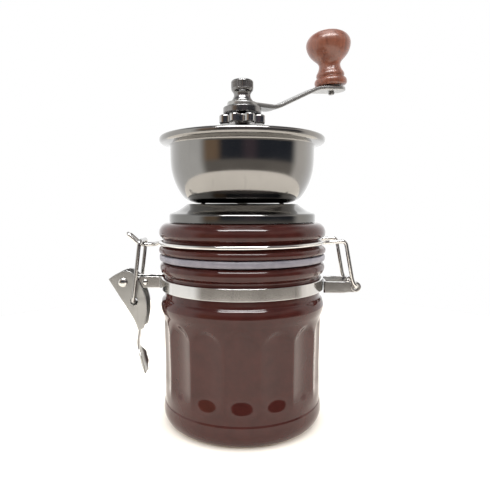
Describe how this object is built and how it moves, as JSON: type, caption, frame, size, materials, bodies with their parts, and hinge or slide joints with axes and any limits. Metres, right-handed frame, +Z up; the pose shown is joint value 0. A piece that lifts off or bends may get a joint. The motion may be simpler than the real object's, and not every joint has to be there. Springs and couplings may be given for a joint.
{
  "type": "hand crank coffee grinder",
  "caption": "Ceramic canister coffee mill: swing-top lid with steel hopper bowl, conical burrs, cranked arm with turned wooden knob and a wire bail latch.",
  "frame": {"origin": "centre of the jar's resting face", "axes": "+Z up along the drive shaft, +X towards the lid's hinge, -X towards the latch, -Y the front"},
  "size_m": [0.1429, 0.0952, 0.2306],
  "materials": {
    "glaze": "glossy dark red-brown glaze",
    "polished_steel": "polished stainless steel",
    "satin_steel": "satin steel sheet",
    "dark_steel": "dark nickel-plated steel",
    "silicone": "translucent pale grey silicone",
    "wood": "varnished reddish brown hardwood",
    "burr_ceramic": "matt white ceramic",
    "housing_plastic": "matt black plastic",
    "bush_brass": "machined brass"
  },
  "bodies": {
    "jar_body": {"jar": "glaze", "neck_band": "polished_steel", "clamp_rivet": "polished_steel", "lever_rivet": "polished_steel", "hinge_bracket": "satin_steel"},
    "lid": {"bail_wire": "polished_steel", "lid_ring": "glaze", "gasket": "silicone", "cone_cover": "polished_steel", "hopper_bowl": "polished_steel", "throat_tube": "satin_steel", "bridge": "satin_steel", "upper_bush": "bush_brass", "bridge_screw_left": "dark_steel", "bridge_screw_right": "dark_steel", "burr_housing": "housing_plastic", "outer_burr": "burr_ceramic", "burr_spider": "housing_plastic", "lower_bush": "bush_brass"},
    "crank": {"drive_shaft": "dark_steel", "inner_burr": "burr_ceramic", "burr_spring": "satin_steel", "burr_nut": "dark_steel", "adjusting_nut": "polished_steel", "stopper_plate": "polished_steel", "cap_nut": "dark_steel", "crank_arm": "satin_steel", "knob_spindle": "dark_steel", "spindle_washer": "satin_steel"},
    "knob_body": {"knob": "wood", "knob_plug": "wood"},
    "lever": {"latch_lever": "satin_steel"},
    "wire": {"latch_wire": "polished_steel"}
  },
  "joints": [
    {"name": "lid_hinge", "type": "hinge", "parent": "jar_body", "child": "lid", "pos_m": [0.0632, 0, 0.0775], "axis": [0, 1, 0], "range_deg": [0, 105]},
    {"name": "crank_turn", "type": "hinge", "parent": "lid", "child": "crank", "pos_m": [0, 0, 0.15], "axis": [0, 0, 1], "continuous": true},
    {"name": "knob_turn", "type": "hinge", "parent": "crank", "child": "knob_body", "pos_m": [0.05568, 0.03215, 0.19514], "axis": [-0.0891, -0.0514, 0.9947], "continuous": true},
    {"name": "latch_lever_swing", "type": "hinge", "parent": "jar_body", "child": "lever", "pos_m": [-0.0678, 0, 0.0791], "axis": [0, 1, 0], "range_deg": [0, 88]},
    {"name": "latch_wire_swing", "type": "hinge", "parent": "lever", "child": "wire", "pos_m": [-0.0617, 0, 0.0682], "axis": [0, 1, 0], "range_deg": [-183.2, 0]}
  ],
  "couplings": [
    {"joint": "latch_wire_swing", "follows": "latch_lever_swing", "ratio": -2.08}
  ]
}
